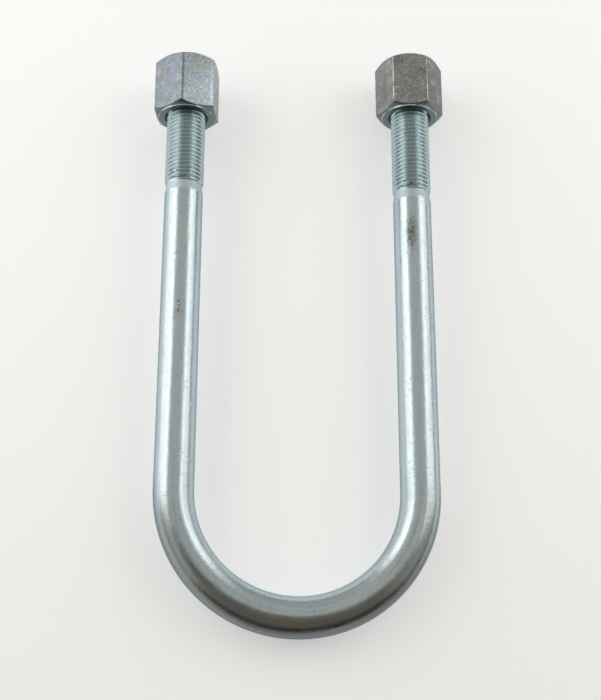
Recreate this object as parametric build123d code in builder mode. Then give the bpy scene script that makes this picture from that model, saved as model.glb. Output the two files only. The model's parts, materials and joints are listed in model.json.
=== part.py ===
# Bent U-bolt with two high hex nuts, M22 threads on both legs (mm).
# Origin: centre of curvature of the bend.  +Y runs along the legs towards the threads,
# +X across to the right leg, +Z square to the plane of the U (up when it lies flat).
import math
import os

from build123d import *

os.makedirs("parts", exist_ok=True)

# ---- the bent bar ----
LEG_SPACING = 130.0                  # leg centre to leg centre
BEND_R = LEG_SPACING / 2             # centreline radius of the half-round bend
SHANK_R = 10.75                      # plain bar, 21.5 mm across
LEG_LENGTH = 252.0                   # bend centre line to the leg tips
SHANK_LENGTH = 168.5                 # plain part of each straight leg
NECK_CONE = 4.0                      # taper from the bar down to the rolled-thread blank
NECK_LENGTH = 1.0                    # short plain neck under the thread
# ---- rolled thread, M22 coarse ----
PITCH = 2.5
CREST_R = 10.95
ROOT_R = 9.47
BLANK_R = 10.19                      # blank the thread is rolled on: half way up the ridge
FLANK_ANGLE = 30.0                   # each flank from the square to the axis
CREST_WIDTH = PITCH / 8
THREAD_START = SHANK_LENGTH + NECK_CONE + NECK_LENGTH
RUN_IN = PITCH                       # crest grows from the blank to full height over one turn
TIP_CHAMFER = 1.5
# ---- the nuts ----
NUT_ACROSS_FLATS = 34.0
NUT_HEIGHT = 34.5
NUT_BORE_R = 11.05                   # plain bore, 0.1 clear of the thread crests
COUNTERSINK_R = 12.6
WASHER_FACE_R = 16.25                # raised bearing ring on the bend side
WASHER_FACE_STEP = 0.6
BEARING_CHAMFER_START = 16.6         # radius where each end's corner chamfer starts
BEARING_CHAMFER_ANGLE = 30.0
OUTER_CHAMFER_START = 15.9
OUTER_CHAMFER_ANGLE = 35.0
# bearing-face height and the turn of one corner from +Z towards +X, for each nut
NUTS = {
    "left_nut": (-BEND_R, 217.0, -9.5),
    "right_nut": (BEND_R, 223.0, 24.0),
}
MARGIN = 1.0                         # overshoot of the trimming tools


def across_leg(x, y):
    """Plane square to a leg; local x is +Z, local y is +X, local z is +Y."""
    return Plane(origin=(x, y, 0), x_dir=(0, 0, 1), z_dir=(0, 1, 0))


def turned(x, y, profile):
    """Solid of revolution about a leg's axis; profile points are (radius, height above y)."""
    half_plane = Plane(origin=(x, y, 0), x_dir=(1, 0, 0), z_dir=(0, 0, 1))
    with BuildPart() as solid:
        with BuildSketch(half_plane):
            with BuildLine():
                Polyline(*profile, close=True)
            make_face()
        revolve(axis=Axis((x, y, 0), (0, 1, 0)))
    return solid.part


def leg_thread(x):
    """Ridges of the thread's true profile and pitch as rings, trimmed at the neck and the tip."""
    length = LEG_LENGTH - THREAD_START
    half_crest = CREST_WIDTH / 2
    half_ridge = half_crest + (CREST_R - ROOT_R) * math.tan(math.radians(FLANK_ANGLE))
    ridges = range(-1, math.ceil(length / PITCH) + 1)
    ridged = [(0, ridges[0] * PITCH - half_ridge)]
    for centre in [i * PITCH for i in ridges]:
        ridged += [
            (ROOT_R, centre - half_ridge),
            (CREST_R, centre - half_crest),
            (CREST_R, centre + half_crest),
            (ROOT_R, centre + half_ridge),
        ]
    ridged += [(0, ridges[-1] * PITCH + half_ridge)]
    outside = CREST_R + MARGIN
    envelope = [
        (0, 0),
        (BLANK_R, 0),
        (outside, RUN_IN * (outside - BLANK_R) / (CREST_R - BLANK_R)),
        (outside, length - TIP_CHAMFER - MARGIN),
        (CREST_R - TIP_CHAMFER, length),
        (0, length),
    ]
    with BuildPart() as thread:
        add(turned(x, THREAD_START, ridged))
        add(turned(x, THREAD_START, envelope), mode=Mode.INTERSECT)
    return thread.part


# ---- the bent bar: half-round bend, two straight legs, a rolled thread on each ----
leg_profile = [
    (0, 0),
    (SHANK_R, 0),
    (SHANK_R, SHANK_LENGTH),
    (BLANK_R, SHANK_LENGTH + NECK_CONE),
    (BLANK_R, THREAD_START),
    (0, THREAD_START),
]
with BuildPart() as u_bolt:
    with BuildSketch(Plane.XZ):
        with Locations((-BEND_R, 0)):
            Circle(SHANK_R)
    revolve(axis=Axis.Z, revolution_arc=180)
    for leg_x in (-BEND_R, BEND_R):
        add(turned(leg_x, 0, leg_profile))
        add(leg_thread(leg_x))

u_bolt.part.label = "u_bolt"
export_step(u_bolt.part, "parts/u_bolt.step")


# ---- the nuts ----
def hex_nut(x, y, turn):
    corner_r = NUT_ACROSS_FLATS / 2 / math.cos(math.radians(30)) + MARGIN
    bearing_rise = (corner_r - BEARING_CHAMFER_START) * math.tan(math.radians(BEARING_CHAMFER_ANGLE))
    outer_drop = (corner_r - OUTER_CHAMFER_START) * math.tan(math.radians(OUTER_CHAMFER_ANGLE))
    sink = COUNTERSINK_R - NUT_BORE_R
    outline = [
        (0, 0),
        (WASHER_FACE_R, 0),
        (WASHER_FACE_R, WASHER_FACE_STEP),
        (BEARING_CHAMFER_START, WASHER_FACE_STEP),
        (corner_r, WASHER_FACE_STEP + bearing_rise),
        (corner_r, NUT_HEIGHT - outer_drop),
        (OUTER_CHAMFER_START, NUT_HEIGHT),
        (0, NUT_HEIGHT),
    ]
    bore = [
        (0, -MARGIN),
        (COUNTERSINK_R + MARGIN, -MARGIN),
        (NUT_BORE_R, sink),
        (NUT_BORE_R, NUT_HEIGHT - sink),
        (COUNTERSINK_R + MARGIN, NUT_HEIGHT + MARGIN),
        (0, NUT_HEIGHT + MARGIN),
    ]
    with BuildPart() as nut:
        with BuildSketch(across_leg(x, y)):
            RegularPolygon(NUT_ACROSS_FLATS / 2, 6, major_radius=False, rotation=turn)
        extrude(amount=NUT_HEIGHT)
        add(turned(x, y, outline), mode=Mode.INTERSECT)
        add(turned(x, y, bore), mode=Mode.SUBTRACT)
    return nut.part


for name, (nut_x, bearing_y, turn) in NUTS.items():
    nut = hex_nut(nut_x, bearing_y, turn)
    nut.label = name
    export_step(nut, f"parts/{name}.step")
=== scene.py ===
import json
import math

import bmesh
import bpy
from mathutils import Matrix, Vector


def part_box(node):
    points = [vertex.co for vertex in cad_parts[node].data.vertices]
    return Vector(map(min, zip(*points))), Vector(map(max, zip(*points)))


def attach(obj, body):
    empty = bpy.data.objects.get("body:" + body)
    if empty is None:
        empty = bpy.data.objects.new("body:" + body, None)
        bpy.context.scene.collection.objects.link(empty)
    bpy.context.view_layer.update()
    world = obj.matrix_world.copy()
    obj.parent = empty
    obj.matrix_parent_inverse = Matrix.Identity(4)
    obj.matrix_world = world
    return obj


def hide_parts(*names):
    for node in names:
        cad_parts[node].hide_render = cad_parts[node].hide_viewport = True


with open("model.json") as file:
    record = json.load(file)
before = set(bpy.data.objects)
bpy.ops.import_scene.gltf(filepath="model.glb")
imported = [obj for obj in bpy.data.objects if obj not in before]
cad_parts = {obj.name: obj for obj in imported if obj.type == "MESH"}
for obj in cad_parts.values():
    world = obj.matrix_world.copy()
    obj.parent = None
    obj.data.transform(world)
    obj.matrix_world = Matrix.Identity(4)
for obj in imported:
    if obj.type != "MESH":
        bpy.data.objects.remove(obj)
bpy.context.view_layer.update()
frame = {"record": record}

# ---------------------------------------------------------------- sizes, worked out from the frame
MM = 0.001
TAU = 2 * math.pi
BEND_R = frame["record"]["mounts"][1]["dims"]["spacing_x_mm"] * MM / 2     # half the leg spacing
SHANK_R = frame["record"]["mounts"][1]["dims"]["stud_r_mm"] * MM
TIP_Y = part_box("u_bolt")[1][1]

# M22 x 2.5 rolled thread
PITCH = 2.5 * MM
CREST_R = 10.95 * MM
ROOT_R = 9.47 * MM
BLANK_R = (CREST_R + ROOT_R) / 2
FLANK = math.tan(math.radians(30)) * (CREST_R - ROOT_R) / PITCH           # flank width, in pitches
CREST_HALF = 1 / 16                                                       # half the crest flat, in pitches
SHANK_END = 168.5 * MM
CONE_END = SHANK_END + 4.0 * MM
THREAD_START = CONE_END + 1.0 * MM
CONE_EASE = 0.4 * MM                                                      # softens each end of the cone
TIP_CHAMFER = 1.5 * MM
THREAD_FOOT = THREAD_START - 0.1 * MM

# nuts
ACROSS_FLATS = 34.0 * MM
CORNER_ROUND = 0.35 * MM
EDGE_ROUND = 0.25 * MM
COUNTERSINK_R = 12.6 * MM
WASHER_FACE_R = 16.25 * MM
WASHER_FACE_STEP = 0.6 * MM
LOWER_CHAMFER_R = 16.6 * MM
LOWER_CHAMFER_ANGLE = math.radians(30)
UPPER_CHAMFER_R = 15.9 * MM
UPPER_CHAMFER_ANGLE = math.radians(35)
BORE_LIP = 0.1 * MM                                                       # narrow ring joining face to bore
NUT_THREAD_GAP = 0.10 * MM
NUT_TURN = {"left_nut": -9.5, "right_nut": 24.0}                          # one corner, from +Z towards +X

# mesh fineness
AROUND = 96                                                               # segments round the bar
THREAD_AROUND = 72
LEG_STEPS = 60
BEND_STEPS = 96
HALF_FLAT_STEPS = 8
SMOOTH_ANGLE = math.radians(35)
SAME_PLANE = 1e-7                                                         # how close counts as in a plane


# ---------------------------------------------------------------- mesh helpers
def new_object(name, bm, body, node, material):
    bmesh.ops.recalc_face_normals(bm, faces=bm.faces)
    mesh = bpy.data.meshes.new(name)
    bm.to_mesh(mesh)
    bm.free()
    mesh.polygons.foreach_set("use_smooth", [True] * len(mesh.polygons))
    mesh.set_sharp_from_angle(angle=SMOOTH_ANGLE)
    mesh.materials.append(material)
    obj = bpy.data.objects.new(name, mesh)
    bpy.context.collection.objects.link(obj)
    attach(obj, body)
    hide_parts(node)
    return obj


def on_leg(x, angle, radius, y):
    """Point at an angle from +Z towards +X about the leg axis at x."""
    return Vector((x + radius * math.sin(angle), y, radius * math.cos(angle)))


def ring(bm, x, y, radius):
    return [bm.verts.new(on_leg(x, TAU * k / AROUND, radius, y)) for k in range(AROUND)]


def stitch(bm, lower, upper):
    count = len(lower)
    for k in range(count):
        n = (k + 1) % count
        bm.faces.new((lower[k], lower[n], upper[n], upper[k]))


def boundary(bm, y):
    """Open edges lying in the plane y."""
    return [e for e in bm.edges if e.is_boundary and all(abs(v.co.y - y) < SAME_PLANE for v in e.verts)]


def merge(bm, other):
    """Adds other's geometry to bm."""
    carrier = bpy.data.meshes.new("carrier")
    other.to_mesh(carrier)
    other.free()
    bm.from_mesh(carrier)
    bpy.data.meshes.remove(carrier)


def close_end(bm, edges, centre):
    """Closes a leg's tip with a slightly dished face."""
    rim_r = CREST_R - TIP_CHAMFER
    for scale, sink in ((0.97, 0.0), (0.6, 0.04 * MM), (0.2, 0.08 * MM)):
        out = bmesh.ops.extrude_edge_only(bm, edges=edges)["geom"]
        edges = [e for e in out if isinstance(e, bmesh.types.BMEdge) and e.is_boundary]
        for v in {v for e in edges for v in e.verts}:
            across = Vector((v.co.x - centre[0], 0, v.co.z - centre[2]))
            v.co = Vector(centre) + across.normalized() * rim_r * scale - Vector((0, sink, 0))
    bmesh.ops.contextual_create(bm, geom=edges)


# ---------------------------------------------------------------- threads
PROFILE = (-0.5, -0.455, -0.41, -0.36, -0.235, -0.11, -0.07, -0.035,
           0.0, 0.035, 0.07, 0.11, 0.235, 0.36, 0.41, 0.455)


def thread_radius(fraction, crest, root):
    """Basic profile: crest flat, straight flank, root flat. fraction is -0.5..0.5 pitch from the crest."""
    depth = min(max((abs(fraction) - CREST_HALF) / FLANK, 0.0), 1.0)
    depth = depth * depth * (3 - 2 * depth) * 0.35 + depth * 0.65
    return crest + (root - crest) * depth


def helix_wall(x, y_from, y_to, radius_at):
    """Right-hand thread as one helical strip of quads, cut square at both ends."""
    bm = bmesh.new()
    around = THREAD_AROUND
    first = y_from - (y_from - THREAD_START) % PITCH - PITCH
    turns = int((y_to - first) / PITCH) + 2
    columns = [
        [bm.verts.new(on_leg(x, TAU * k / around, radius_at(f, y), y))
         for f in PROFILE for y in [first + PITCH * (k / around + f - 0.5)]]
        for k in range(turns * around + 1)
    ]
    for k in range(turns * around):
        near, far = columns[k], columns[k + 1]
        if k + around + 1 < len(columns):
            near, far = near + columns[k + around][:1], far + columns[k + around + 1][:1]
        for j in range(len(near) - 1):
            bm.faces.new((near[j], near[j + 1], far[j + 1], far[j]))
    for y, side in ((y_from, -1), (y_to, 1)):
        bmesh.ops.bisect_plane(bm, geom=bm.verts[:] + bm.edges[:] + bm.faces[:], dist=1e-8,
                               plane_co=(0, y, 0), plane_no=(0, side, 0), clear_outer=True)
    return bm


def leg_thread(x):
    """The rolled thread: fades in from the blank over a turn and ends in the tip's chamfer."""
    def radius_at(f, y):
        grown = min(max((y - THREAD_START) / PITCH, 0.0), 1.0)
        r = thread_radius(f, CREST_R, BLANK_R + (ROOT_R - BLANK_R) * grown)
        r = min(r, BLANK_R + (CREST_R - BLANK_R) * grown)
        return min(r, CREST_R - (y - TIP_Y + TIP_CHAMFER))
    return helix_wall(x, THREAD_FOOT, TIP_Y, radius_at)


def nut_thread(x, y_from, y_to):
    """The nut's own thread, a constant gap outside the leg's, opening into a countersink at each end."""
    def radius_at(f, y):
        r = thread_radius(f, CREST_R, ROOT_R) + NUT_THREAD_GAP
        return max(r, COUNTERSINK_R - (y - y_from), COUNTERSINK_R - (y_to - y))
    bm = helix_wall(x, y_from, y_to, radius_at)
    bmesh.ops.reverse_faces(bm, faces=bm.faces[:])                        # a bore faces its own axis
    return bm


# ---------------------------------------------------------------- the bent bar
def bar_mesh():
    """One closed mesh: two threaded legs joined by plain bar and a half-round bend."""
    bm = bmesh.new()
    cone = (SHANK_R - BLANK_R) / (CONE_END - SHANK_END)
    plain_end = SHANK_END - CONE_EASE
    profile = [(THREAD_FOOT - 0.2 * MM, BLANK_R), (CONE_END + 0.2 * MM, BLANK_R)]
    profile += [(CONE_END - CONE_EASE, BLANK_R + 0.04 * MM)]
    profile += [(CONE_END - h * MM, BLANK_R + cone * h * MM) for h in (1.0, 2.0, 3.0)]
    profile += [(SHANK_END + CONE_EASE, SHANK_R - 0.07 * MM)]
    profile += [(plain_end * (1 - i / LEG_STEPS), SHANK_R) for i in range(LEG_STEPS + 1)]
    left = [ring(bm, -BEND_R, y, r) for y, r in profile]
    right = [ring(bm, BEND_R, y, r) for y, r in profile]
    bend = []
    for i in range(1, BEND_STEPS):
        a = math.pi * i / BEND_STEPS
        outward = Vector((-math.cos(a), -math.sin(a), 0))
        bend.append([
            bm.verts.new(outward * (BEND_R - SHANK_R * math.sin(TAU * k / AROUND))
                         + Vector((0, 0, SHANK_R * math.cos(TAU * k / AROUND))))
            for k in range(AROUND)
        ])
    turned_over = [right[-1][-k % AROUND] for k in range(AROUND)]
    chain = left + bend + [turned_over]
    for lower, upper in list(zip(chain, chain[1:])) + list(zip(right, right[1:])):
        stitch(bm, lower, upper)
    for x in (-BEND_R, BEND_R):
        merge(bm, leg_thread(x))
        open_edges = boundary(bm, THREAD_FOOT) + boundary(bm, profile[0][0])
        foot = [e for e in open_edges if e.verts[0].co.x * x > 0]
        bmesh.ops.bridge_loops(bm, edges=foot)
        close_end(bm, [e for e in boundary(bm, TIP_Y) if e.verts[0].co.x * x > 0], (x, TIP_Y, 0))
    return bm


# ---------------------------------------------------------------- the nuts
def hex_outline(turn):
    """(angle, radius) round the hexagon, with small rounded corners; angles from +Z towards +X."""
    apothem = ACROSS_FLATS / 2
    centre = (apothem - CORNER_ROUND) / math.cos(math.radians(30))
    points = []
    for corner in range(6):
        for i in range(-2, 3):
            tilt = math.radians(30) * i / 2
            px = centre + CORNER_ROUND * math.cos(tilt)
            py = CORNER_ROUND * math.sin(tilt)
            points.append((math.radians(turn + 60 * corner) + math.atan2(py, px), math.hypot(px, py)))
        half_flat = math.tan(math.radians(30)) * (apothem - CORNER_ROUND)
        for i in range(1, 2 * HALF_FLAT_STEPS):
            across = half_flat * (i / HALF_FLAT_STEPS - 1)
            middle = math.radians(turn + 60 * corner + 30)
            points.append((middle + math.atan2(across, apothem), math.hypot(across, apothem)))
    return points


def rounded(points, radius):
    """Replaces each inner corner of an open outline with three points of a small curve."""
    out = [points[0]]
    for before, here, after in zip(points, points[1:], points[2:]):
        before, here, after = Vector(before), Vector(here), Vector(after)
        a = here + (before - here).normalized() * min(radius, (before - here).length * 0.4)
        b = here + (after - here).normalized() * min(radius, (after - here).length * 0.4)
        out += [tuple(a), tuple(a * 0.25 + here * 0.5 + b * 0.25), tuple(b)]
    return out + [points[-1]]


def nut_mesh(node):
    """High hexagon nut: raised bearing ring below, corner chamfers at both ends, threaded bore."""
    low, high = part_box(node)
    x = BEND_R if low[0] > 0 else -BEND_R
    y0, y1 = low[1], high[1]
    ring_y = y0 + WASHER_FACE_STEP
    bore_r = COUNTERSINK_R + BORE_LIP
    bm = bmesh.new()
    columns = []
    for angle, r in hex_outline(NUT_TURN[node]):
        rise = (r - LOWER_CHAMFER_R) * math.tan(LOWER_CHAMFER_ANGLE)
        drop = (r - UPPER_CHAMFER_R) * math.tan(UPPER_CHAMFER_ANGLE)
        section = [
            (bore_r, y0), (WASHER_FACE_R, y0), (WASHER_FACE_R, ring_y), (LOWER_CHAMFER_R, ring_y),
            (r, ring_y + rise), (r, y1 - drop), (UPPER_CHAMFER_R, y1), (bore_r, y1),
        ]
        columns.append([bm.verts.new(on_leg(x, angle, sr, sy)) for sr, sy in rounded(section, EDGE_ROUND)])
    for near, far in zip(columns, columns[1:] + columns[:1]):
        for j in range(len(near) - 1):
            bm.faces.new((near[j], near[j + 1], far[j + 1], far[j]))
    merge(bm, nut_thread(x, y0, y1))
    for y in (y0, y1):
        bmesh.ops.bridge_loops(bm, edges=boundary(bm, y))
    return bm


# ---------------------------------------------------------------- materials
class Nodes:
    """Short calls for building one material's node tree."""

    def __init__(self, name):
        self.material = bpy.data.materials.new(name)
        self.material.use_nodes = True
        self.tree = self.material.node_tree
        self.shader = self.tree.nodes["Principled BSDF"]

    def add(self, kind, **settings):
        node = self.tree.nodes.new(kind)
        for key, value in settings.items():
            setattr(node, key, value)
        return node

    def plug(self, value, socket):
        if isinstance(value, bpy.types.NodeSocket):
            self.tree.links.new(value, socket)
        else:
            socket.default_value = value

    def attribute(self, name, output="Vector"):
        return self.add("ShaderNodeAttribute", attribute_name=name).outputs[output]

    def split(self, vector):
        node = self.add("ShaderNodeSeparateXYZ")
        self.plug(vector, node.inputs[0])
        return node.outputs

    def moved(self, vector, scale=(1, 1, 1), offset=(0, 0, 0)):
        node = self.add("ShaderNodeMapping")
        self.plug(vector, node.inputs["Vector"])
        node.inputs["Scale"].default_value = scale
        node.inputs["Location"].default_value = offset
        return node.outputs["Vector"]

    def size_of(self, vector):
        node = self.add("ShaderNodeVectorMath", operation="LENGTH")
        self.plug(vector, node.inputs[0])
        return node.outputs["Value"]

    def noise(self, vector, scale, detail=4.0, rough=0.55):
        node = self.add("ShaderNodeTexNoise")
        self.plug(vector, node.inputs["Vector"])
        for key, value in (("Scale", scale), ("Detail", detail), ("Roughness", rough)):
            node.inputs[key].default_value = value
        return node.outputs["Fac"]

    def cells(self, vector, scale):
        node = self.add("ShaderNodeTexVoronoi")
        self.plug(vector, node.inputs["Vector"])
        node.inputs["Scale"].default_value = scale
        return node.outputs["Distance"]

    def band(self, value, low, high, to_low=0.0, to_high=1.0):
        node = self.add("ShaderNodeMapRange", interpolation_type="SMOOTHSTEP")
        self.plug(value, node.inputs["Value"])
        for key, v in (("From Min", low), ("From Max", high), ("To Min", to_low), ("To Max", to_high)):
            self.plug(v, node.inputs[key])
        return node.outputs["Result"]

    def math(self, operation, a, b=0.0):
        node = self.add("ShaderNodeMath", operation=operation)
        self.plug(a, node.inputs[0])
        self.plug(b, node.inputs[1])
        return node.outputs[0]

    def times(self, *factors):
        out = factors[0]
        for f in factors[1:]:
            out = self.math("MULTIPLY", out, f)
        return out

    def mix(self, factor, a, b):
        node = self.add("ShaderNodeMix", data_type="RGBA")
        for key, v in (("Factor_Float", factor), ("A_Color", a), ("B_Color", b)):
            self.plug(v, next(s for s in node.inputs if s.identifier == key))
        return next(s for s in node.outputs if s.identifier == "Result_Color")

    def blend(self, factor, a, b):
        node = self.add("ShaderNodeMix", data_type="FLOAT")
        for key, v in (("Factor_Float", factor), ("A_Float", a), ("B_Float", b)):
            self.plug(v, next(s for s in node.inputs if s.identifier == key))
        return next(s for s in node.outputs if s.identifier == "Result_Float")

    def specks(self, vector, scale, size, patchiness, share):
        """Irregular dots: one to a cell, kept only where a slow noise is above share."""
        dots = self.band(self.cells(vector, scale), size * 0.5, size, 1.0, 0.0)
        return self.times(dots, self.band(self.noise(vector, patchiness, 3), share, share + 0.05))

    def patch(self, vector, centre, reach, soft=0.5):
        """1 inside an ellipsoid about centre, 0 outside; reach is its half size along each axis."""
        scale = tuple(1 / r for r in reach)
        offset = tuple(-c / r for c, r in zip(centre, reach))
        return self.band(self.size_of(self.moved(vector, scale, offset)), 1 - soft, 1.0, 1.0, 0.0)

    def bump(self, height, distance, normal=None):
        node = self.add("ShaderNodeBump")
        node.inputs["Distance"].default_value = distance
        self.plug(height, node.inputs["Height"])
        if normal is not None:
            self.plug(normal, node.inputs["Normal"])
        return node.outputs["Normal"]

    def finish(self, colour, rough, normal, metallic=1.0, edge=(1, 1, 1, 1)):
        self.plug(colour, self.shader.inputs["Base Color"])
        self.plug(rough, self.shader.inputs["Roughness"])
        self.plug(normal, self.shader.inputs["Normal"])
        self.shader.inputs["Metallic"].default_value = metallic
        self.shader.inputs["Specular Tint"].default_value = edge
        return self.material


QUARTER = BEND_R * math.pi / 2                       # bend centre line from its middle to a leg
THREAD_FROM = QUARTER + THREAD_START                 # along the bar, where the thread begins
DIRT = (0.075, 0.060, 0.045, 1)
RUST = (0.13, 0.075, 0.045, 1)
# painted dark reflection on the bend, its darkest tone
DARKEST_REFLECTION = (0.075, 0.066, 0.055, 1)
# painted shade for the thread roots
ROOT_SHADE = (0.13, 0.14, 0.13, 1)
GREY_ZINC = (0.545, 0.625, 0.645, 1)
WHITE_ZINC = (0.63, 0.705, 0.72, 1)
BLUE_ZINC = (0.53, 0.64, 0.71, 1)
DULL_ZINC = (0.44, 0.50, 0.50, 1)
GRITTY_ZINC = (0.34, 0.37, 0.37, 1)
WORN_ZINC = (0.30, 0.29, 0.26, 1)
# painted dark reflection along the bend's upper outer side
DARK_REFLECTION_ZINC = (0.26, 0.245, 0.22, 1)
SHADED_ZINC = (0.25, 0.26, 0.25, 1)
STAINED_ZINC = (0.22, 0.20, 0.17, 1)
THREAD_ZINC = (0.52, 0.62, 0.64, 1)
FROSTED_ZINC = (0.62, 0.71, 0.74, 1)
BAR_EDGE_TINT = (0.40, 0.51, 0.60, 1)


def bar_zinc():
    """Blue-white zinc over drawn bar: fine grain, pits, scuffs, a frosted neck, painted shade in the thread
    roots and painted dark reflection on the bend.
    """
    n = Nodes("bar_zinc")
    place = n.attribute("bar_space")
    out, up, along = n.split(place)
    reach = n.math("ABSOLUTE", along)
    radius = n.size_of(n.moved(place, (1, 1, 0)))
    drawn = n.moved(place, (1, 1, 0.03))

    threaded = n.band(reach, THREAD_FROM - 0.8 * MM, THREAD_FROM + 1.2 * MM)
    frosted = n.times(n.band(n.math("ADD", reach, n.band(n.noise(place, 500), 0, 1, -1 * MM, 1 * MM)),
                             QUARTER + SHANK_END - 0.6 * MM, QUARTER + SHANK_END + 0.6 * MM),
                      n.math("SUBTRACT", 1.0, threaded))
    bent = n.band(reach, QUARTER - 14 * MM, QUARTER + 22 * MM, 1.0, 0.0)

    streaks = n.noise(drawn, 1500, 3)
    grit = n.noise(n.moved(place, (1, 1, 0.6)), 2200, 3, 0.7)
    clouds = n.noise(place, 55, 4)
    mottle = n.noise(place, 420, 5, 0.65)
    colour = n.mix(n.band(streaks, 0.3, 0.7), GREY_ZINC, WHITE_ZINC)
    colour = n.mix(n.band(clouds, 0.45, 0.7, 0.0, 0.6), colour, BLUE_ZINC)
    colour = n.mix(n.band(mottle, 0.55, 0.8, 0.0, 0.35), colour, DULL_ZINC)
    worn = n.times(bent, n.band(mottle, 0.35, 0.65, 0.4, 1.0),
                   n.band(n.noise(drawn, 380, 5, 0.6), 0.42, 0.66))
    colour = n.mix(n.band(grit, 0.55, 0.75, 0.0, 0.35), colour, GRITTY_ZINC)
    colour = n.mix(n.times(worn, 0.45), colour, WORN_ZINC)
    # painted dark reflection: the upper outer side of the bend is darkened, mottled by noise
    dark_reflection = n.times(n.band(out, -0.5 * MM, 4 * MM), n.band(up, -4 * MM, 2 * MM),
                      n.band(reach, QUARTER, 55 * MM), n.band(n.noise(drawn, 160, 4), 0.35, 0.6, 0.35, 1.0))
    colour = n.mix(n.times(dark_reflection, 0.55), colour, DARK_REFLECTION_ZINC)
    # painted dark reflection, deepest in a long patch on the bend's upper outer side
    darkest_reflection = n.times(n.patch(place, (8 * MM, 6.5 * MM, 10 * MM), (4.2 * MM, 5.5 * MM, 85 * MM), 0.6),
                   n.band(n.noise(drawn, 220, 4), 0.35, 0.6, 0.4, 1.0))
    colour = n.mix(n.times(darkest_reflection, 0.9), colour, DARKEST_REFLECTION)
    under = n.times(n.band(out, 6 * MM, 9.5 * MM), n.band(reach, QUARTER + 10 * MM, 80 * MM))
    colour = n.mix(n.times(under, 0.5), colour, SHADED_ZINC)
    colour = n.mix(n.times(threaded, 0.85), colour, THREAD_ZINC)
    colour = n.mix(n.times(frosted, 0.9, n.band(mottle, 0.3, 0.6, 0.75, 1.0)), colour, FROSTED_ZINC)

    # painted shade: the thread roots are darkened towards the root radius
    root_shade = n.times(threaded, n.band(radius, ROOT_R, ROOT_R + 0.6 * MM, 0.35, 0.0))
    colour = n.mix(root_shade, colour, ROOT_SHADE)
    rust = n.times(n.band(reach, THREAD_FROM + 3 * MM, THREAD_FROM + 13 * MM, 1.0, 0.12),
                   threaded, n.band(n.noise(n.moved(place, (1, 1, 2.2)), 420, 3), 0.60, 0.66))
    colour = n.mix(rust, colour, RUST)

    pits = n.specks(place, 520, 0.17, 70, 0.49)
    smudge = n.patch(place, (-2.6 * MM, SHANK_R, QUARTER + 146 * MM), (4.6 * MM, 3.4 * MM, 17 * MM), 0.85)
    smudge = n.times(smudge, n.band(n.noise(n.moved(place, (1, 1, 0.5)), 1300, 4, 0.7), 0.44, 0.56))
    tail = n.times(n.patch(place, (-0.5 * MM, SHANK_R, QUARTER + 118 * MM), (1.3 * MM, 3 * MM, 22 * MM), 0.7),
                   n.band(n.noise(n.moved(place, (1, 1, 0.35)), 1500, 4), 0.53, 0.62, 0.0, 0.7))
    scuff = n.times(n.patch(place, (0.3 * MM, SHANK_R, -QUARTER - 98 * MM), (1.2 * MM, 3 * MM, 9 * MM), 0.5),
                    n.band(n.noise(n.moved(place, (1, 1, 0.5)), 1200, 3), 0.50, 0.56))
    stain = n.patch(place, (-2.4 * MM, SHANK_R, QUARTER + 147 * MM), (5.0 * MM, 4 * MM, 14 * MM), 1.0)
    stain = n.times(stain, n.band(mottle, 0.3, 0.6, 0.5, 1.0))
    colour = n.mix(n.times(stain, 0.65), colour, STAINED_ZINC)
    marks = n.math("MAXIMUM", n.math("MAXIMUM", pits, smudge), n.math("MAXIMUM", tail, scuff))
    colour = n.mix(n.times(marks, 0.8), colour, DIRT)

    rough = n.band(n.noise(place, 160, 4), 0.3, 0.7, 0.21, 0.29)
    rough = n.blend(worn, rough, 0.33)
    rough = n.blend(threaded, rough, 0.27)
    rough = n.blend(frosted, rough, 0.58)
    rough = n.blend(n.math("MAXIMUM", marks, rust), rough, 0.7)

    waves = n.bump(n.noise(place, 45, 2), 0.0003)
    pebble = n.bump(mottle, 0.00008, waves)
    grain = n.bump(grit, 0.000012, n.bump(streaks, 0.000012, pebble))
    surface = n.bump(n.math("SUBTRACT", 1.0, marks), 0.00006, grain)
    return n.finish(colour, rough, surface, edge=BAR_EDGE_TINT)


# painted shade for the nut's bearing side
SHADED_UNDERSIDE = (0.150, 0.195, 0.205, 1)
# painted shade for the countersink and bore
BORE_SHADE = (0.22, 0.24, 0.24, 1)
BORE_EDGE = 0.4 * MM                                 # width over which the bore's painted shade fades into the face
SPARKLE = (0.80, 0.82, 0.82, 1)
ETCH_LIGHT = (0.90, 0.91, 0.92, 1)
ETCH_DARK = (0.11, 0.12, 0.12, 1)


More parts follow.
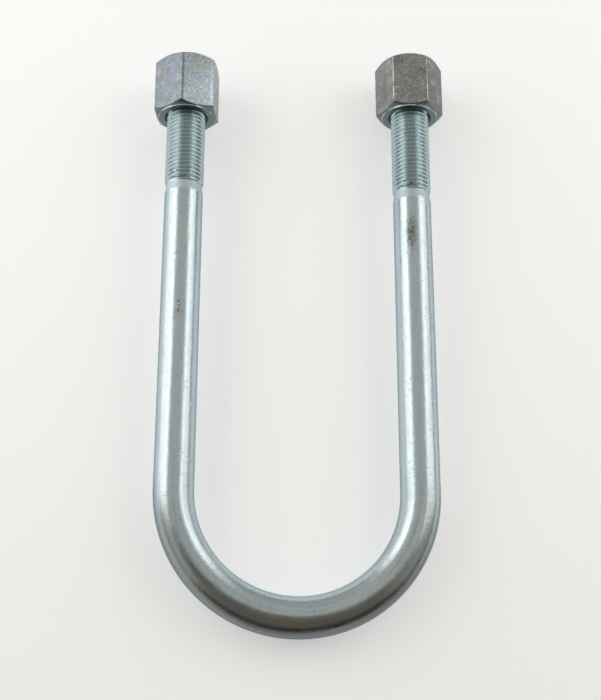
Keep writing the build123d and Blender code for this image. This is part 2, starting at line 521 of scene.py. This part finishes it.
def nut_zinc(name, flats, ends, speckle, smooth, clouding, edge, highlight_share, stains, marks):
    """Zinc on a machined nut: a tone for each flat, painting the light and shade on it, etched speckle,
    stains, and painted highlights along broken corners and round the washer face.

    speckle is its strength on every flat but the last, which has smooth instead. clouding is the
    strength of the stains, light and dark. A higher highlight_share leaves less of each corner with painted
    highlight.
    """
    n = Nodes(name)
    place = n.add("ShaderNodeTexCoord").outputs["Object"]
    drawn = n.moved(place, (1, 0.12, 1))
    space = n.attribute("nut_space")
    across, height, radius = n.split(space)
    flat = n.attribute("flat_number", "Fac")
    is_flat = n.math("GREATER_THAN", flat, -0.5)

    def on_flat(number):
        chosen = n.math("COMPARE", flat, float(number))
        n.tree.nodes[-1].inputs[2].default_value = 0.5
        return chosen

    colour = ends
    for number, tone in enumerate(flats):
        colour = n.mix(on_flat(number), colour, tone)
    # painted shade: the end faces darken towards the bearing side
    below = n.times(n.math("SUBTRACT", 1.0, is_flat), n.band(height, 0.3, 0.2))
    colour = n.mix(below, colour, SHADED_UNDERSIDE)
    speckle = n.blend(on_flat(5), speckle, smooth)
    clouds = n.noise(place, 140, 5, 0.65)
    fine = n.noise(place, 420, 4, 0.7)
    etch = n.noise(place, 1100, 4, 0.75)
    streaks = n.noise(drawn, 700, 4, 0.6)
    light, dark = stains
    colour = n.mix(n.times(is_flat, n.band(clouds, 0.50, 0.66, 0.0, clouding)), colour, light)
    colour = n.mix(n.times(is_flat, n.band(clouds, 0.49, 0.33, 0.0, clouding)), colour, dark)
    colour = n.mix(n.times(is_flat, n.band(streaks, 0.55, 0.75, 0.0, clouding)), colour, dark)
    colour = n.mix(n.times(is_flat, speckle, n.band(fine, 0.52, 0.72)), colour, SPARKLE)
    colour = n.mix(n.times(is_flat, speckle, n.band(etch, 0.50, 0.66)), colour, ETCH_LIGHT)
    colour = n.mix(n.times(is_flat, speckle, n.band(etch, 0.48, 0.32)), colour, ETCH_DARK)
    for number, centre, size, tone, strength in marks:
        spot = n.times(on_flat(number), n.patch(n.moved(space, (1, 1, 0)), centre + (0,), size + (1,), 0.8),
                       n.band(fine, 0.35, 0.5, 0.5, 1.0))
        colour = n.mix(n.times(spot, strength), colour, tone)

    # painted highlights: a broken line along each corner, and an arc round the washer face
    broken = n.band(n.noise(place, 900, 3), 0, 1, -0.05, 0.05)
    corner = n.band(n.math("ADD", n.math("ABSOLUTE", across), broken), 0.955, 0.985)
    corner = n.times(corner, n.band(n.noise(place, 350, 3), highlight_share, highlight_share + 0.12),
                     n.band(height, 0.05, 0.09), n.band(height, 0.97, 0.92))
    rim = n.times(n.band(radius, WASHER_FACE_R - 0.5 * MM, WASHER_FACE_R - 0.2 * MM),
                  n.band(radius, WASHER_FACE_R + 0.15 * MM, WASHER_FACE_R), n.band(height, 0.03, 0.015),
                  n.band(n.noise(place, 160, 3), 0.38, 0.58, 0.15, 0.8))
    painted_highlight = n.math("MAXIMUM", corner, rim)
    colour = n.mix(painted_highlight, colour, edge)
    pits = n.specks(place, 330, 0.14, 90, 0.56)
    colour = n.mix(n.times(pits, 0.7), colour, DIRT)
    # painted shade in the countersink and bore
    in_bore = n.band(radius, COUNTERSINK_R + BORE_EDGE, COUNTERSINK_R)
    colour = n.mix(in_bore, colour, BORE_SHADE)
    rough = n.blend(is_flat, 0.30, n.band(clouds, 0.3, 0.7, 0.36, 0.48))
    rough = n.blend(painted_highlight, rough, 0.25)
    rough = n.blend(pits, rough, 0.75)
    rough = n.blend(in_bore, rough, 0.5)
    normal = n.bump(clouds, 0.00010, n.bump(fine, 0.00006, n.bump(etch, 0.00004)))
    return n.finish(colour, rough, normal)


# ---------------------------------------------------------------- the object
def bar_space(mesh):
    """Stores each point's place on the straightened bar: outward, up and along, so grain follows the bend."""
    layer = mesh.attributes.new("bar_space", "FLOAT_VECTOR", "POINT")
    for item, v in zip(layer.data, mesh.vertices):
        x, y, z = v.co
        if y >= 0:
            item.vector = (abs(x) - BEND_R, z, math.copysign(QUARTER + y, x))
        else:
            item.vector = (math.hypot(x, y) - BEND_R, z, BEND_R * math.atan2(x, -y))


def nut_space(mesh, node):
    """Stores place across each flat (-1..1), height (0..1) and radius; numbers the flats, other faces -1."""
    low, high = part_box(node)
    axis_x = BEND_R if low[0] > 0 else -BEND_R

    def polar(p):
        angle = (math.degrees(math.atan2(p[0] - axis_x, p[2])) - NUT_TURN[node]) % 360
        return int(angle // 60) % 6, angle % 60 - 30, math.hypot(p[0] - axis_x, p[2])

    place = mesh.attributes.new("nut_space", "FLOAT_VECTOR", "POINT")
    for item, v in zip(place.data, mesh.vertices):
        _, off_centre, radius = polar(v.co)
        across = math.tan(math.radians(off_centre)) / math.tan(math.radians(30))
        item.vector = (across, (v.co.y - low[1]) / (high[1] - low[1]), radius)
    number = mesh.attributes.new("flat_number", "FLOAT", "FACE")
    for item, face in zip(number.data, mesh.polygons):
        sector, _, radius = polar(face.center)
        item.value = sector if abs(face.normal.y) < 0.2 and radius > UPPER_CHAMFER_R + MM else -1


bar = new_object("zinc_u_bolt", bar_mesh(), "u_bolt", "u_bolt", bar_zinc())
bar_space(bar.data)

TEAL_END = (0.25, 0.325, 0.335, 1)
# one tone for each flat, in order from the corner that NUT_TURN places; the tones differ from flat to flat as
# painted light and shade
left_flat_shading = ((0.40, 0.49, 0.54, 1), (0.20, 0.27, 0.265, 1), (0.38, 0.44, 0.46, 1),
              (0.38, 0.44, 0.46, 1), (0.38, 0.44, 0.46, 1), (0.215, 0.25, 0.275, 1))
right_flat_shading = ((0.155, 0.16, 0.155, 1), (0.22, 0.225, 0.22, 1), (0.24, 0.245, 0.235, 1),
               (0.24, 0.245, 0.235, 1), (0.215, 0.22, 0.215, 1), (0.30, 0.31, 0.30, 1))
LAVENDER = (0.29, 0.32, 0.41, 1)
STRAW = (0.52, 0.49, 0.38, 1)
ROSE = (0.37, 0.32, 0.32, 1)
# flat, centre and half size on it (across, height), tone, strength
left_marks = (
    (5, (0.35, 0.55), (0.45, 0.45), LAVENDER, 0.6),            # violet bloom in the middle of the left flat
    (5, (-0.25, 0.60), (0.22, 0.60), ROSE, 0.45),
    (0, (0.00, 0.78), (0.55, 0.25), STRAW, 0.5),               # straw tint near the top of the right flat
    (0, (-0.90, 0.50), (0.12, 1.20), (0.16, 0.18, 0.19, 1), 0.8),
    (0, (0.86, 0.50), (0.12, 0.80), (0.62, 0.70, 0.76, 1), 0.7),
    (5, (-0.10, 0.30), (0.50, 0.22), (0.30, 0.36, 0.39, 1), 0.5),
)
right_marks = (
    (5, (-0.46, 0.84), (0.10, 0.025), (0.05, 0.05, 0.05, 1), 0.95),   # small dark dent
    (5, (0.35, 0.20), (0.50, 0.18), (0.28, 0.36, 0.35, 1), 0.5),
    (4, (0.10, 0.40), (0.35, 0.30), (0.14, 0.145, 0.14, 1), 0.5),
)
left_stains = ((0.50, 0.56, 0.60, 1), (0.28, 0.31, 0.33, 1))
right_stains = ((0.40, 0.415, 0.40, 1), (0.14, 0.145, 0.14, 1))
# edge is the colour of the painted corner and washer-face highlights
left_zinc = nut_zinc("left_nut_zinc", left_flat_shading, TEAL_END, speckle=0.75, smooth=0.22, clouding=0.35,
                     edge=(0.66, 0.74, 0.77, 1), highlight_share=0.52, stains=left_stains, marks=left_marks)
left_nut = new_object("bright_left_nut", nut_mesh("left_nut"), "left_nut", "left_nut",
                      left_zinc)
# edge is the colour of the painted corner and washer-face highlights
right_zinc = nut_zinc("right_nut_zinc", right_flat_shading, TEAL_END, speckle=0.25, smooth=0.45, clouding=0.7,
                      edge=(0.88, 0.87, 0.82, 1), highlight_share=0.40, stains=right_stains, marks=right_marks)
right_nut = new_object("dull_right_nut", nut_mesh("right_nut"), "right_nut", "right_nut",
                       right_zinc)
nut_space(left_nut.data, "left_nut")
nut_space(right_nut.data, "right_nut")


# ---------------------------------------------------------------- the stage
def lowest_point(obj):
    return min((obj.matrix_world @ v.co for v in obj.data.vertices), key=lambda p: p.z)


def floor_plane():
    """The plane that the bolt rests on: the lowest corner of each nut and the underside of the bend.

    Which point of the bend is lowest depends on the plane's own tilt, so a few rounds settle it.
    """
    left, right = lowest_point(left_nut), lowest_point(right_nut)
    bend = [v.co for v in bar.data.vertices if v.co.y <= 0]
    normal = Vector((0, 0, 1))
    for _ in range(8):
        under_bend = min(bend, key=lambda p: p.dot(normal))
        normal = (right - left).cross(under_bend - left).normalized()
        normal = normal if normal.z > 0 else -normal
    return left, normal


FLOOR_SIZE = 6
FLOOR_GAP = 0.2 * MM
FLOOR_GLOW = 0.38
resting, up = floor_plane()
bpy.ops.mesh.primitive_plane_add(size=FLOOR_SIZE)
floor = bpy.context.object
floor.name = "floor"
floor.location = resting - up * FLOOR_GAP
floor.rotation_euler = Vector((0, 0, 1)).rotation_difference(up).to_euler()
paper = Nodes("floor_paper")
fibre = paper.noise(paper.add("ShaderNodeTexCoord").outputs["Object"], 300, 5)
pale = paper.mix(fibre, (0.88, 0.88, 0.88, 1), (0.92, 0.92, 0.92, 1))
floor.data.materials.append(paper.finish(pale, 0.8, paper.bump(fibre, 0.00002), metallic=0.0))
paper.shader.inputs["Emission Color"].default_value = (1, 1, 1, 1)
paper.shader.inputs["Emission Strength"].default_value = FLOOR_GLOW


def soft_panel(name, near_edge, far_edge, run, length, glow, colour=(1, 1, 1)):
    """A flat soft panel facing the bolt, given by the middles of two opposite edges that lie along run."""
    near_edge, far_edge, run = Vector(near_edge), Vector(far_edge), Vector(run)
    middle, rise = (near_edge + far_edge) / 2, far_edge - near_edge
    data = bpy.data.lights.new(name, "AREA")
    data.shape = "RECTANGLE"
    data.size, data.size_y = length, rise.length
    data.energy = glow * math.pi * data.size * data.size_y
    data.color = colour
    lamp = bpy.data.objects.new(name, data)
    back = run.cross(rise).normalized()
    if back.dot(middle) < 0:
        run, back = -run, -back
    lamp.matrix_world = Matrix.LocRotScale(middle, Matrix((run, rise.normalized(), back)).transposed(), None)
    lamp.visible_camera = False
    bpy.context.collection.objects.link(lamp)


ALONG = (0, 1, 0)
ACROSS = (1, 0, 0)
# middle of the near edge, middle of the far edge (metres), the way both run, their length, glow
soft_panel("left_panel", (-0.64, 0.50, -0.01), (-0.72, 0.50, 0.83), ALONG, 0.95, 1.45)
soft_panel("left_low_panel", (-0.64, -0.24, -0.01), (-0.72, -0.24, 0.80), ALONG, 0.52, 0.30)
soft_panel("right_low_panel", (0.80, -0.24, 0.12), (0.72, -0.24, 0.90), ALONG, 0.52, 0.26)
soft_panel("right_panel", (0.80, 0.50, 0.12), (0.72, 0.50, 1.02), ALONG, 0.95, 1.15)
soft_panel("far_panel", (0, -0.06, 1.50), (0, 1.45, -0.01), ACROSS, 2.4, 0.34, (0.95, 1.0, 1.0))

world = bpy.data.worlds.new("studio")
world.use_nodes = True
sky = world.node_tree
height = sky.nodes.new("ShaderNodeSeparateXYZ")
sky.links.new(sky.nodes.new("ShaderNodeTexCoord").outputs["Generated"], height.inputs[0])
fade = sky.nodes.new("ShaderNodeValToRGB")
for stop, (position, tone) in zip(fade.color_ramp.elements, (
        (0.05, (0.02, 0.018, 0.015, 1)), (0.55, (0.165, 0.145, 0.12, 1)))):
    stop.position = position
    stop.color = tone
sky.links.new(height.outputs["Z"], fade.inputs["Fac"])
sky.links.new(fade.outputs["Color"], sky.nodes["Background"].inputs["Color"])
wall = sky.nodes.new("ShaderNodeBackground")                 # the pale wall seen past the floor
wall.inputs["Color"].default_value = (0.78, 0.78, 0.77, 1)
seen = sky.nodes.new("ShaderNodeMixShader")
sky.links.new(sky.nodes.new("ShaderNodeLightPath").outputs["Is Camera Ray"], seen.inputs["Fac"])
sky.links.new(sky.nodes["Background"].outputs[0], seen.inputs[1])
sky.links.new(wall.outputs[0], seen.inputs[2])
sky.links.new(seen.outputs[0], sky.nodes["World Output"].inputs["Surface"])
bpy.context.scene.world = world
bpy.context.scene.view_settings.view_transform = "Standard"

# ---------------------------------------------------------------- the camera, above the bend side
LENS_MM = 63.0
SENSOR_MM = 36
NEAREST_SEEN = 0.01
EYE = Vector((-49.3, -133.5, 631.0)) * MM
TILT = Vector((-18.496, -4.555, 0.840))                                   # rotation vector, degrees


def camera():
    data = bpy.data.cameras.new("camera")
    data.lens = LENS_MM
    data.sensor_width = SENSOR_MM
    data.clip_start = NEAREST_SEEN
    eye = bpy.data.objects.new("camera", data)
    turn = Matrix.Rotation(math.radians(TILT.length), 3, TILT.normalized())
    flip = Matrix(((1, 0, 0), (0, -1, 0), (0, 0, -1)))
    rows = turn @ flip
    eye.matrix_world = Matrix.LocRotScale(EYE, Matrix((rows[0], -rows[1], -rows[2])).transposed(), None)
    bpy.context.collection.objects.link(eye)
    bpy.context.scene.camera = eye


camera()
